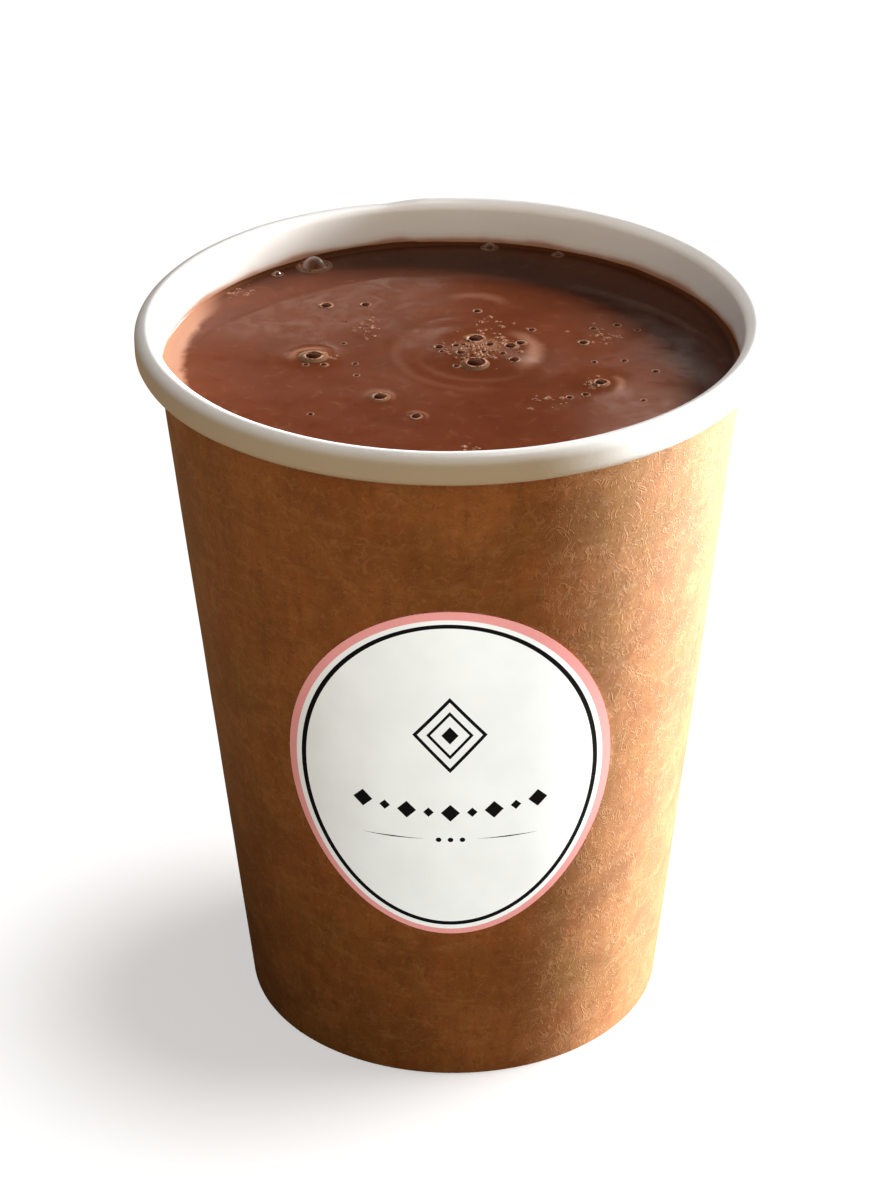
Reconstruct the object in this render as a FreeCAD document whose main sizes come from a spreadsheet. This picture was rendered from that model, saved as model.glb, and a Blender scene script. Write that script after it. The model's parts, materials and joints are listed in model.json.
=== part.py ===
"""A paper cup of hot chocolate, as a parametric FreeCAD document.

The cup is a cone of kraft board, white inside. Its wall is one piece of board: folded
inward round the base's skirt at the foot, lapped over itself along a side seam, and
rolled outward into a hollow bead at the rim. A flat base with a down-turned skirt is
crimped into the foot, an oval label is stuck on the front, and the drink fills the cup
to just under the bead, with a meniscus where it wets the wall and bubbles on top.

Millimetres. The origin is on the table, under the middle of the foot. +Z is up, and
the label faces -Y.
"""

import FreeCAD, Part
import math
import os

import Sketcher

# Every driving dimension: its alias in the sheet, its value and what it is.
DIMENSIONS = [
    ("cup_height", 110.0, "table to the top of the rim"),
    ("rim_diameter", 90.0, "outside of the rolled rim"),
    ("wall_taper", 5.65, "lean of the wall from upright, in degrees"),
    ("board", 0.4, "thickness of the paper board"),
    ("roll_width", 3.3, "rolled rim, from the cup's inside to its outside"),
    ("roll_height", 4.7, "rolled rim, from its top to its lowest point"),
    ("tuck_length", 0.9, "straight end of the board inside the rolled rim"),
    ("tuck_gap", 0.2, "that end to the wall behind it"),
    ("fold_radius", 0.5, "outside radius of the fold at the foot"),
    ("hem_height", 5.5, "height of the board folded in at the foot"),
    ("crimp_gap", 0.05, "clearance on each side of the base's skirt"),
    ("base_recess", 7.0, "table to the underside of the base"),
    ("base_bend", 0.7, "outside radius of the bend round the base's edge"),
    ("skirt_gap", 0.2, "end of the base's skirt to the inside of the fold"),
    ("seam_width", 6.0, "lapped board along the side seam"),
    ("seam_ramp", 4.0, "slope where the lapped board comes down to the wall"),
    ("seam_angle", 116.0, "side seam, from +X towards +Y, in degrees"),
    ("seam_margin", 0.6, "ends of the lapped board to the fold and to the bead"),
    ("drink_drop", 6.6, "top of the rim to the drink's level surface"),
    ("drink_gap", 0.05, "clearance between the drink and the wall"),
    ("meniscus_rise", 0.5, "drink's climb up the wall"),
    ("meniscus_reach", 1.5, "width of the climbing edge of the drink"),
    ("bubble_sink", 0.45, "depth of a bubble's centre below the level, in its radii"),
    ("label_width", 45.6, "label, across its front view"),
    ("label_height", 56.5, "label, up its front view"),
    ("label_centre", 55.75, "table to the middle of the label"),
    ("label_turn", 0.8, "turn of the label's middle from -Y towards -X, in degrees"),
    ("label_thickness", 0.15, "thickness of the label"),
    ("label_glue", 0.05, "layer of glue between the label and the wall"),
    ("label_sweep", 120.0, "turn of the strip that the label is cut from, in degrees"),
    ("label_margin", 2.0, "strip left above and below the label before the cut"),
]

# The largest bubbles: angle from +X in degrees, distance from the middle as a share of
# the drink's radius, and width across.
BUBBLES = [
    (122.0, 0.93, 3.5),
    (329.0, 0.10, 2.6),
    (179.0, 0.47, 2.1),
    (58.0, 0.16, 2.0),
    (233.0, 0.40, 1.7),
    (337.0, 0.54, 1.7),
    (135.0, 0.63, 1.5),
    (20.0, 0.21, 1.4),
]

# The bead's upper bend is a half circle about this point. The wall's two faces and the
# pieces that follow them are set out by their distance from it.
BEAD_X = "(dims.rim_diameter / 2 - dims.roll_width / 2)"
BEAD_Z = "(dims.cup_height - dims.roll_width / 2)"
LEAN = "(dims.wall_taper * 1 deg)"
WHITE_FACE = "(dims.roll_width / 2)"
KRAFT_FACE = "(dims.roll_width / 2 - dims.board)"
DRINK_FACE = f"({WHITE_FACE} + dims.drink_gap)"
DRINK_LEVEL = "(dims.cup_height - dims.drink_drop)"

# Names for the parts of a sketch's edges and for its fixed axes.
START, END, CENTRE = 1, 2, 3
ORIGIN = (-1, START)
FLAT_AXIS = -1


def size_of(alias):
    """A driving dimension. Sketches start from it and then follow the sheet."""
    return next(size for name, size, _ in DIMENSIONS if name == alias)


def radius_at(height, face):
    """Expression for the distance from the cup's axis to a face that follows the wall."""
    return f"({BEAD_X} - {face} / cos({LEAN}) - ({BEAD_Z} - {height}) * tan({LEAN}))"


def start_radius(height, face):
    """The same distance as a number, so that a sketch starts near its answer."""
    lean = math.radians(size_of("wall_taper"))
    bead_x = size_of("rim_diameter") / 2 - size_of("roll_width") / 2
    bead_z = size_of("cup_height") - size_of("roll_width") / 2
    return bead_x - face / math.cos(lean) - (bead_z - height) * math.tan(lean)


def add_dimensions(doc):
    """The sheet that every piece is bound to."""
    sheet = doc.addObject("Spreadsheet::Sheet", "dims")
    for row, (alias, size, words) in enumerate(DIMENSIONS, start=1):
        sheet.set(f"A{row}", alias)
        sheet.set(f"B{row}", str(size))
        sheet.set(f"C{row}", words)
        sheet.setAlias(f"B{row}", alias)
    doc.recompute()


def point(x, y):
    return FreeCAD.Vector(x, y, 0)


def line(start, end):
    return Part.LineSegment(point(*start), point(*end))


def arc(centre, radius, first, last):
    """An arc from one angle to another, anticlockwise, in degrees."""
    circle = Part.Circle(point(*centre), FreeCAD.Vector(0, 0, 1), radius)
    return Part.ArcOfCircle(circle, math.radians(first), math.radians(last))


def upright_sketch(doc, name):
    """A free sketch that stands in the XZ plane, its x measured from the cup's axis."""
    sketch = doc.addObject("Sketcher::SketchObject", name)
    upright = FreeCAD.Rotation(FreeCAD.Vector(1, 0, 0), 90)
    sketch.Placement = FreeCAD.Placement(FreeCAD.Vector(0, 0, 0), upright)
    return sketch


def body_sketch(body, name, role):
    """A sketch on one of a body's own origin planes."""
    sketch = body.newObject("Sketcher::SketchObject", name)
    plane = next(f for f in body.Origin.OriginFeatures if f.Role == role)
    sketch.AttachmentSupport = [(plane, "")]
    sketch.MapMode = "FlatFace"
    return sketch


def constrain(sketch, kind, *parts):
    """Adds a constraint between parts of a sketch."""
    return sketch.addConstraint(Sketcher.Constraint(kind, *parts))


def bind(sketch, kind, *parts, to, near):
    """Adds a constraint whose size follows an expression, starting near a number."""
    index = constrain(sketch, kind, *parts, near)
    sketch.setExpression(f"Constraints[{index}]", to)


def chain(sketch, *links, kind="Tangent"):
    """Joins edge ends in pairs, smoothly unless another kind of joint is named."""
    for first, second in links:
        constrain(sketch, kind, *first, *second)


def bead_centre(sketch):
    """A construction point in the middle of the bead's upper bend."""
    bead_x = size_of("rim_diameter") / 2 - size_of("roll_width") / 2
    bead_z = size_of("cup_height") - size_of("roll_width") / 2
    middle = sketch.addGeometry(Part.Point(point(bead_x, bead_z)), True)
    bind(sketch, "DistanceX", *ORIGIN, middle, START, to=BEAD_X, near=bead_x)
    bind(sketch, "DistanceY", *ORIGIN, middle, START, to=BEAD_Z, near=bead_z)
    return middle


def lean_with_wall(sketch, edge):
    """Leans an edge, drawn upwards, with the wall."""
    post = sketch.addGeometry(line((0, 0), (0, size_of("roll_height"))), True)
    constrain(sketch, "Coincident", post, START, *ORIGIN)
    constrain(sketch, "Vertical", post)
    bind(
        sketch, "DistanceY", post, START, post, END,
        to="dims.roll_height", near=size_of("roll_height"),
    )
    lean = math.radians(size_of("wall_taper"))
    bind(sketch, "Angle", edge, START, post, START, to=LEAN, near=lean)


def follow_wall(sketch, edge, face, near):
    """Lays an edge, drawn upwards, along a face that follows the wall."""
    middle = bead_centre(sketch)
    bind(sketch, "Distance", middle, START, edge, to=face, near=near)
    lean_with_wall(sketch, edge)


def wall_sketch(doc):
    """The kraft face of the board, from the hem's edge down, up the wall and into the bead."""
    sketch = upright_sketch(doc, "wall_face")
    board = size_of("board")
    fold = size_of("fold_radius")
    hem_top = size_of("hem_height")
    bead = size_of("roll_width") / 2 - board
    bead_x = size_of("rim_diameter") / 2 - size_of("roll_width") / 2
    bead_z = size_of("cup_height") - size_of("roll_width") / 2
    low_z = size_of("cup_height") - size_of("roll_height") + board
    hem_gap = 3 * board + 2 * size_of("crimp_gap")
    lean = size_of("wall_taper")
    foot = start_radius(fold, bead)
    tuck = bead * 0.8
    tuck_z = low_z + tuck
    outer = bead_x + bead
    hem, fold_in, flat, fold_out, wall, top_bend, side, low_bend, end = sketch.addGeometry([
        line((start_radius(hem_top, bead) - hem_gap, hem_top), (foot - hem_gap, fold)),
        arc((foot - hem_gap + fold, fold), fold, 180, 270),
        line((foot - hem_gap + fold, 0), (foot - fold, 0)),
        arc((foot - fold, fold), fold, 270, 360 - lean),
        line((foot, fold), (start_radius(bead_z, bead), bead_z)),
        arc((bead_x, bead_z), bead, 0, 180 - lean),
        line((outer, bead_z), (outer, tuck_z)),
        arc((outer - tuck, tuck_z), tuck, 180, 360),
        line((outer - 2 * tuck, tuck_z), (outer - 2 * tuck, tuck_z + size_of("tuck_length"))),
    ], False)
    chain(
        sketch,
        ((hem, END), (fold_in, START)),
        ((fold_in, END), (flat, START)),
        ((flat, END), (fold_out, START)),
        ((fold_out, END), (wall, START)),
        ((wall, END), (top_bend, END)),
        ((top_bend, START), (side, START)),
        ((side, END), (low_bend, END)),
        ((low_bend, START), (end, START)),
    )
    middle = bead_centre(sketch)
    constrain(sketch, "Coincident", top_bend, CENTRE, middle, START)
    bind(sketch, "Radius", top_bend, to=KRAFT_FACE, near=bead)
    lean_with_wall(sketch, wall)
    constrain(sketch, "Vertical", side)
    constrain(sketch, "Vertical", end)
    lowest = sketch.addGeometry(line((outer - 2 * tuck, low_z), (outer, low_z)), True)
    constrain(sketch, "Horizontal", lowest)
    constrain(sketch, "Tangent", lowest, low_bend)
    constrain(sketch, "Vertical", low_bend, START, lowest, START)
    constrain(sketch, "Vertical", low_bend, END, lowest, END)
    bind(
        sketch, "DistanceY", *ORIGIN, lowest, START,
        to="dims.cup_height - dims.roll_height + dims.board", near=low_z,
    )
    bind(
        sketch, "DistanceY", end, START, end, END,
        to="dims.tuck_length", near=size_of("tuck_length"),
    )
    bind(
        sketch, "Distance", end, END, wall,
        to="dims.board + dims.tuck_gap", near=board + size_of("tuck_gap"),
    )
    constrain(sketch, "PointOnObject", flat, START, FLAT_AXIS)
    constrain(sketch, "Horizontal", flat)
    constrain(sketch, "Parallel", hem, wall)
    bind(sketch, "Radius", fold_in, to="dims.fold_radius", near=fold)
    bind(sketch, "Radius", fold_out, to="dims.fold_radius", near=fold)
    bind(sketch, "DistanceY", *ORIGIN, hem, START, to="dims.hem_height", near=hem_top)
    bind(
        sketch, "Distance", hem, START, wall,
        to="3 * dims.board + 2 * dims.crimp_gap", near=hem_gap,
    )
    return sketch


def board_section(doc, name, face, thickness):
    """One thickness of board, laid on one side of a sketch's open line."""
    section = doc.addObject("Part::Offset2D", name)
    section.Source = face
    section.Mode = "Skin"
    section.Fill = True
    section.setExpression("Value", thickness)
    return section


def turned(doc, name, section):
    """A closed section turned once round the cup's axis."""
    solid = doc.addObject("Part::Revolution", name)
    solid.Source = section
    solid.Axis = FreeCAD.Vector(0, 0, 1)
    solid.Angle = 360
    solid.Solid = True
    return solid


def seam_sketch(doc, name, height):
    """The lapped board at one height: a step on one side, a long slope on the other."""
    sketch = doc.addObject("Sketcher::SketchObject", name)
    sketch.Placement.Rotation = FreeCAD.Rotation(FreeCAD.Vector(0, 0, 1), size_of("seam_angle"))
    sketch.setExpression(".Placement.Rotation.Angle", "dims.seam_angle * 1 deg")
    sketch.setExpression(".Placement.Base.z", height)
    wall = start_radius(size_of("cup_height") / 2, size_of("roll_width") / 2)
    board = size_of("board")
    step_y = -size_of("seam_width") / 2
    crest_y = size_of("seam_width") / 2
    toe_y = crest_y + size_of("seam_ramp")
    low, high = wall, wall + 1.5 * board

    def on(radius, y):
        return (math.sqrt(radius**2 - y**2), y)

    def turn(radius, y):
        return math.degrees(math.asin(y / radius))

    crest, slope, sole, step = sketch.addGeometry([
        arc((0, 0), high, turn(high, step_y), turn(high, crest_y)),
        line(on(high, crest_y), on(low, toe_y)),
        arc((0, 0), low, turn(low, step_y), turn(low, toe_y)),
        line(on(low, step_y), on(high, step_y)),
    ], False)
    chain(
        sketch,
        ((crest, END), (slope, START)),
        ((slope, END), (sole, END)),
        ((sole, START), (step, START)),
        ((step, END), (crest, START)),
        kind="Coincident",
    )
    constrain(sketch, "Coincident", crest, CENTRE, *ORIGIN)
    constrain(sketch, "Coincident", sole, CENTRE, *ORIGIN)
    constrain(sketch, "Horizontal", step)
    kraft = radius_at(height, KRAFT_FACE)
    bind(sketch, "Radius", crest, to=f"{kraft} + dims.board", near=high)
    bind(sketch, "Radius", sole, to=f"{kraft} - dims.board / 2", near=low)
    bind(sketch, "DistanceY", step, END, *ORIGIN, to="dims.seam_width / 2", near=-step_y)
    bind(sketch, "DistanceY", *ORIGIN, crest, END, to="dims.seam_width / 2", near=crest_y)
    bind(
        sketch, "DistanceY", *ORIGIN, sole, END,
        to="dims.seam_width / 2 + dims.seam_ramp", near=toe_y,
    )
    return sketch


def make_cup_wall(doc):
    """The cup's one piece of board: hem, fold, wall and bead, with the lap of its seam."""
    section = board_section(doc, "wall_section", wall_sketch(doc), "dims.board")
    cone = turned(doc, "wall_cone", section)
    foot = seam_sketch(doc, "seam_foot", "(dims.fold_radius + dims.seam_margin)")
    head = seam_sketch(
        doc, "seam_head", "(dims.cup_height - dims.roll_height - dims.seam_margin)"
    )
    lap = doc.addObject("Part::Loft", "seam_lap")
    lap.Sections = [foot, head]
    lap.Solid = True
    lap.Ruled = True
    wall = doc.addObject("Part::Fuse", "cup_wall")
    wall.Base = cone
    wall.Tool = lap
    wall.Label = "cup_wall"
    return wall


def make_cup_base(doc):
    """The base: a disc of board whose edge turns down into a skirt inside the fold."""
    sketch = upright_sketch(doc, "base_face")
    board = size_of("board")
    bend = size_of("base_bend")
    top = size_of("base_recess") + board
    skirt_end = board + size_of("skirt_gap")
    near = size_of("roll_width") / 2 + size_of("crimp_gap")
    edge = start_radius(top - bend, near)
    disc, corner, skirt = sketch.addGeometry([
        line((0, top), (edge - bend, top)),
        arc((edge - bend, top - bend), bend, -size_of("wall_taper"), 90),
        line((start_radius(skirt_end, near), skirt_end), (edge, top - bend)),
    ], False)
    chain(sketch, ((disc, END), (corner, END)), ((corner, START), (skirt, END)))
    constrain(sketch, "Horizontal", disc)
    bind(sketch, "DistanceX", *ORIGIN, disc, START, to="0", near=0)
    bind(sketch, "DistanceY", *ORIGIN, disc, START, to="dims.base_recess + dims.board", near=top)
    bind(sketch, "Radius", corner, to="dims.base_bend", near=bend)
    bind(
        sketch, "DistanceY", *ORIGIN, skirt, START,
        to="dims.board + dims.skirt_gap", near=skirt_end,
    )
    follow_wall(sketch, skirt, f"{WHITE_FACE} + dims.crimp_gap", near)
    section = board_section(doc, "base_section", sketch, "-dims.board")
    base = turned(doc, "cup_base", section)
    base.Label = "cup_base"
    return base


def drink_profile(body):
    """Half the drink's section: the base's disc, the wall, the meniscus and the level."""
    sketch = body_sketch(body, "drink_profile", "XZ_Plane")
    floor = size_of("base_recess") + size_of("board")
    level = size_of("cup_height") - size_of("drink_drop")
    rise = size_of("meniscus_rise")
    reach = size_of("meniscus_reach")
    near = size_of("roll_width") / 2 + size_of("drink_gap")
    brim = start_radius(level + rise, near)
    radius = (reach**2 + rise**2) / (2 * rise)
    tip = math.degrees(math.asin(reach / radius))
    bottom, side, meniscus, surface, axis = sketch.addGeometry([
        line((0, floor), (start_radius(floor, near), floor)),
        line((start_radius(floor, near), floor), (brim, level + rise)),
        arc((brim - reach, level + radius), radius, 270, 270 + tip),
        line((brim - reach, level), (0, level)),
        line((0, level), (0, floor)),
    ], False)
    chain(
        sketch,
        ((bottom, END), (side, START)),
        ((side, END), (meniscus, END)),
        ((surface, END), (axis, START)),
        ((axis, END), (bottom, START)),
        kind="Coincident",
    )
    chain(sketch, ((meniscus, START), (surface, START)))
    constrain(sketch, "Horizontal", bottom)
    constrain(sketch, "Horizontal", surface)
    constrain(sketch, "Vertical", axis)
    bind(sketch, "DistanceX", *ORIGIN, axis, START, to="0", near=0)
    bind(
        sketch, "DistanceY", *ORIGIN, bottom, START,
        to="dims.base_recess + dims.board", near=floor,
    )
    bind(sketch, "DistanceY", *ORIGIN, surface, START, to=DRINK_LEVEL, near=level)
    bind(
        sketch, "DistanceY", surface, START, side, END,
        to="dims.meniscus_rise", near=rise,
    )
    bind(
        sketch, "DistanceX", surface, START, side, END,
        to="dims.meniscus_reach", near=reach,
    )
    follow_wall(sketch, side, DRINK_FACE, near)
    return sketch


def make_chocolate(doc):
    """The drink, from the base's disc up to its level, with the largest bubbles on top."""
    body = doc.addObject("PartDesign::Body", "chocolate")
    profile = drink_profile(body)
    fill = body.newObject("PartDesign::Revolution", "fill")
    fill.Profile = profile
    fill.ReferenceAxis = (profile, ["V_Axis"])
    fill.Angle = 360
    ground = next(f for f in body.Origin.OriginFeatures if f.Role == "XY_Plane")
    reach = radius_at(DRINK_LEVEL, DRINK_FACE)
    on_side = FreeCAD.Rotation(FreeCAD.Vector(1, 0, 0), 90)
    for number, (angle, share, width) in enumerate(BUBBLES, start=1):
        bubble = body.newObject("PartDesign::AdditiveSphere", f"bubble_{number}")
        bubble.AttachmentSupport = [(ground, "")]
        bubble.MapMode = "FlatFace"
        bubble.AttachmentOffset = FreeCAD.Placement(FreeCAD.Vector(0, 0, 0), on_side)
        bubble.Radius = width / 2
        east = f"{share} * cos({angle} deg) * {reach}"
        north = f"{share} * sin({angle} deg) * {reach}"
        bubble.setExpression(".AttachmentOffset.Base.x", east)
        bubble.setExpression(".AttachmentOffset.Base.y", north)
        bubble.setExpression(
            ".AttachmentOffset.Base.z", f"{DRINK_LEVEL} - dims.bubble_sink * {width / 2}"
        )
    body.Label = "chocolate"
    return body


def label_strip(body):
    """The section of the strip that the label is cut from, laid on the kraft face."""
    sketch = body_sketch(body, "label_section", "YZ_Plane")
    half = size_of("label_height") / 2 + size_of("label_margin")
    low = size_of("label_centre") - half
    high = size_of("label_centre") + half
    thickness = size_of("label_thickness")
    near = size_of("roll_width") / 2 - size_of("board") - size_of("label_glue")
    back_low = start_radius(low, near)
    back_high = start_radius(high, near)
    back, top, front, bottom = sketch.addGeometry([
        line((back_low, low), (back_high, high)),
        line((back_high, high), (back_high + thickness, high)),
        line((back_low + thickness, low), (back_high + thickness, high)),
        line((back_low, low), (back_low + thickness, low)),
    ], False)
    chain(
        sketch,
        ((back, END), (top, START)),
        ((top, END), (front, END)),
        ((bottom, END), (front, START)),
        ((back, START), (bottom, START)),
        kind="Coincident",
    )
    constrain(sketch, "Horizontal", top)
    constrain(sketch, "Horizontal", bottom)
    constrain(sketch, "Parallel", back, front)
    bind(
        sketch, "DistanceY", *ORIGIN, bottom, START,
        to="dims.label_centre - dims.label_height / 2 - dims.label_margin", near=low,
    )
    bind(
        sketch, "DistanceY", *ORIGIN, top, START,
        to="dims.label_centre + dims.label_height / 2 + dims.label_margin", near=high,
    )
    bind(sketch, "Distance", back, START, front, to="dims.label_thickness", near=thickness)
    follow_wall(sketch, back, f"{KRAFT_FACE} - dims.label_glue", near)
    return sketch


def label_offcut(body):
    """What the cut takes away, seen from the front: all round the label's oval."""
    sketch = body_sketch(body, "label_offcut", "XZ_Plane")
    width = size_of("label_width")
    height = size_of("label_height")
    centre = size_of("label_centre")
    span = size_of("rim_diameter")
    oval = sketch.addGeometry(
        Part.Ellipse(
            point(0, centre + height / 2), point(width / 2, centre), point(0, centre)
        ),
        False,
    )
    sketch.exposeInternalGeometry(oval)
    tall, wide = oval + 1, oval + 2
    constrain(sketch, "Vertical", tall)
    bind(sketch, "Distance", tall, START, tall, END, to="dims.label_height", near=height)
    bind(sketch, "Distance", wide, START, wide, END, to="dims.label_width", near=width)
    bind(sketch, "DistanceY", *ORIGIN, oval, CENTRE, to="dims.label_centre", near=centre)
    bind(sketch, "DistanceX", *ORIGIN, oval, CENTRE, to="0", near=0)
    low, high = centre - span, centre + span
    base, right, roof, left = sketch.addGeometry([
        line((-span, low), (span, low)),
        line((span, low), (span, high)),
        line((span, high), (-span, high)),
        line((-span, high), (-span, low)),
    ], False)
    chain(
        sketch,
        ((base, END), (right, START)),
        ((right, END), (roof, START)),
        ((roof, END), (left, START)),
        ((left, END), (base, START)),
        kind="Coincident",
    )
    for edge in (base, roof):
        constrain(sketch, "Horizontal", edge)
    for edge in (left, right):
        constrain(sketch, "Vertical", edge)
    bind(sketch, "DistanceX", *ORIGIN, base, END, to="dims.rim_diameter", near=span)
    bind(sketch, "DistanceX", base, START, *ORIGIN, to="dims.rim_diameter", near=span)
    bind(
        sketch, "DistanceY", *ORIGIN, roof, START,
        to="dims.label_centre + dims.label_height", near=high,
    )
    bind(
        sketch, "DistanceY", base, START, oval, CENTRE,
        to="dims.label_height", near=span,
    )
    return sketch


def make_label(doc):
    """The oval label: a thin strip that follows the wall, cut to an oval from the front."""
    body = doc.addObject("PartDesign::Body", "label")
    section = label_strip(body)
    strip = body.newObject("PartDesign::Revolution", "label_strip")
    strip.Profile = section
    strip.ReferenceAxis = (section, ["V_Axis"])
    strip.Midplane = True
    strip.setExpression("Angle", "dims.label_sweep * 1 deg")
    doc.recompute()
    cut = body.newObject("PartDesign::Pocket", "label_cut")
    cut.Profile = label_offcut(body)
    cut.Type = "ThroughAll"
    cut.Midplane = True
    body.Placement.Rotation = FreeCAD.Rotation(FreeCAD.Vector(0, 0, 1), 180)
    body.setExpression(".Placement.Rotation.Angle", "(180 - dims.label_turn) * 1 deg")
    body.Label = "label"
    return body


def check(doc, nodes):
    """Stops if any object failed, or if a sub-part has no valid solid."""
    for item in doc.Objects:
        if {"Invalid", "Error"} & set(item.State):
            raise RuntimeError(f"{item.Name} failed: {item.State}")
    for node in nodes:
        shape = node.Shape
        if shape.isNull() or not shape.isValid() or len(shape.Solids) != 1:
            raise RuntimeError(f"{node.Label} is not one valid solid")


def export(nodes):
    """Writes each sub-part to its own STEP file."""
    os.makedirs("parts", exist_ok=True)
    for node in nodes:
        node.Shape.exportStep(f"parts/{node.Label}.step")


def main():
    doc = FreeCAD.newDocument("hot_chocolate")
    add_dimensions(doc)
    nodes = [make_cup_wall(doc), make_cup_base(doc), make_chocolate(doc), make_label(doc)]
    doc.recompute()
    check(doc, nodes)
    export(nodes)
    for node in nodes:
        print(node.Label, round(node.Shape.Volume, 2), node.Shape.optimalBoundingBox(False, False))


if __name__ == "__main__":
    main()
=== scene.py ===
"""Looks for a paper cup of hot chocolate, laid out as an add-on and run as a script.

Metres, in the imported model's own frame: the cup stands on z = 0 with its axis on Z, and its
label faces -Y. Each piece has an operator that models it, and the stage has one of its own.
"""

import json
import math
import random

import bpy
from mathutils import Matrix, Vector, noise

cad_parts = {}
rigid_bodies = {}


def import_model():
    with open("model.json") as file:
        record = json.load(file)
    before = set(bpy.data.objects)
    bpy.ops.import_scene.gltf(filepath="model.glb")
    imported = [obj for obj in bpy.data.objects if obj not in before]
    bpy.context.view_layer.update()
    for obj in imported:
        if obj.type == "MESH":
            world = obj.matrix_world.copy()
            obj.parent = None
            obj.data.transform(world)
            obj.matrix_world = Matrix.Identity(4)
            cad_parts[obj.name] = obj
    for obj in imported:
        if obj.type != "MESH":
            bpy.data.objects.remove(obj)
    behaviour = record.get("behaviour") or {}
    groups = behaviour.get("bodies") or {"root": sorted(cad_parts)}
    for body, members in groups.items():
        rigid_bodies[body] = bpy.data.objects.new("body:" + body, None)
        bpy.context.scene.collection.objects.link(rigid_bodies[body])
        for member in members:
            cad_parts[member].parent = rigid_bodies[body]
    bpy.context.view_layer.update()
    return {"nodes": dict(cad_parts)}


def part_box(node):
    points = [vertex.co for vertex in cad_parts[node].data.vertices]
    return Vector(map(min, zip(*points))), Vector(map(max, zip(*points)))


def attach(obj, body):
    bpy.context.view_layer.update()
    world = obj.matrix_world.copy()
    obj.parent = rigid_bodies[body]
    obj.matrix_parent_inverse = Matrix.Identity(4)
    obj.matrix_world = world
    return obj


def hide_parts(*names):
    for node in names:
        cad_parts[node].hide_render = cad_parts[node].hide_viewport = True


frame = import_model()

bl_info = {
    "name": "Hot Chocolate Cup",
    "version": (1, 0, 0),
    "blender": (4, 5, 0),
    "location": "View3D > Sidebar > Cup",
    "description": "Models a paper cup of hot chocolate and sets up a studio for it",
    "category": "Add Mesh",
}

MM = 0.001
BODY = "root"
WALL_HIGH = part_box("cup_wall")[1]
BASE_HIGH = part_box("cup_base")[1]
LABEL_LOW, LABEL_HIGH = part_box("label")
LABEL_MIDDLE = (LABEL_LOW + LABEL_HIGH) / 2


# ---- Sizes and colours ----


def length(name, words, default):
    """A length in metres."""
    return bpy.props.FloatProperty(
        name=name, description=words, default=default, precision=5, unit="LENGTH"
    )


def angle(name, words, degrees):
    """An angle, given in degrees."""
    return bpy.props.FloatProperty(
        name=name, description=words, default=math.radians(degrees), subtype="ANGLE"
    )


def colour(name, words, default):
    """A linear colour."""
    return bpy.props.FloatVectorProperty(
        name=name, description=words, default=default, size=3, min=0.0, max=1.0, subtype="COLOR"
    )


class CupSizes(bpy.types.PropertyGroup):
    rim_radius: length("Rim radius", "Outside of the rolled rim", WALL_HIGH.x)
    height: length("Height", "Table to the top of the rim", WALL_HIGH.z)
    taper: angle("Taper", "Lean of the wall from upright", 5.65)
    board: length("Board", "Thickness of the paper board", 0.4 * MM)
    roll_width: length("Roll width", "Rolled rim, inside to outside", 3.3 * MM)
    roll_height: length("Roll height", "Rolled rim, top to bottom", 4.7 * MM)
    tuck_bend: length("Tuck bend", "Lower bend of the rolled rim, on the kraft face", 0.989 * MM)
    tuck_length: length("Tuck length", "Board past the lower bend", 0.9 * MM)
    fold_radius: length("Fold radius", "Outside of the folds at the foot", 0.5 * MM)
    hem_height: length("Hem height", "Table to the free edge folded in at the foot", 5.5 * MM)
    hem_stack: length("Hem stack", "Wall, base skirt and hem together", 1.3 * MM)
    lap_start: angle("Lap start", "Outer edge of the side seam, from +X towards +Y", 112.0)
    lap_crest: angle("Lap crest", "Seam where both layers lie on each other", 8.0)
    lap_ramp: angle("Lap ramp", "Where the outer layer comes down to the wall", 9.0)
    lap_lift: length("Lap lift", "Outer layer's height over the inner one", 0.42 * MM)
    wobble: length("Wobble", "Unevenness of the board", 0.1 * MM)


class DrinkSizes(bpy.types.PropertyGroup):
    drop: length("Drop", "Top of the rim down to the drink", 6.6 * MM)
    into_wall: length("Into the wall", "How far the drink reaches into the board", 0.15 * MM)
    meniscus_rise: length("Meniscus rise", "Height of the drink's edge at the wall", 0.5 * MM)
    meniscus_reach: length("Meniscus reach", "Width of the drink's curved edge", 1.5 * MM)
    ripple_x: length("Ripple X", "Middle of the ring ripple", 5.0 * MM)
    ripple_y: length("Ripple Y", "Middle of the ring ripple", 1.1 * MM)
    ripple_radius: length("Ripple radius", "Strongest ring of the ripple", 10.5 * MM)
    ripple_width: length("Ripple width", "How far the rings reach from the strongest", 4.5 * MM)
    ripple_height: length("Ripple height", "Height of the ring ripple", 0.008 * MM)
    swell: length("Swell", "Height of the slow unevenness of the surface", 0.06 * MM)


class LabelSizes(bpy.types.PropertyGroup):
    border: length("Border", "Width of the coloured border", 1.1 * MM)
    gap: length("Gap", "White band between border and line", 0.72 * MM)
    line: length("Line", "Width of the printed line", 0.66 * MM)
    print_x: length("Print X", "Shift of the print on its paper, to the right", -0.1 * MM)
    print_z: length("Print Z", "Shift of the print on its paper, upwards", -0.2 * MM)
    paper: length("Paper", "Thickness of the label", 0.15 * MM)
    glue: length("Glue", "Label's back to the wall", 0.02 * MM)
    ink: length("Ink", "Thickness of the print", 0.02 * MM)


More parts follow.
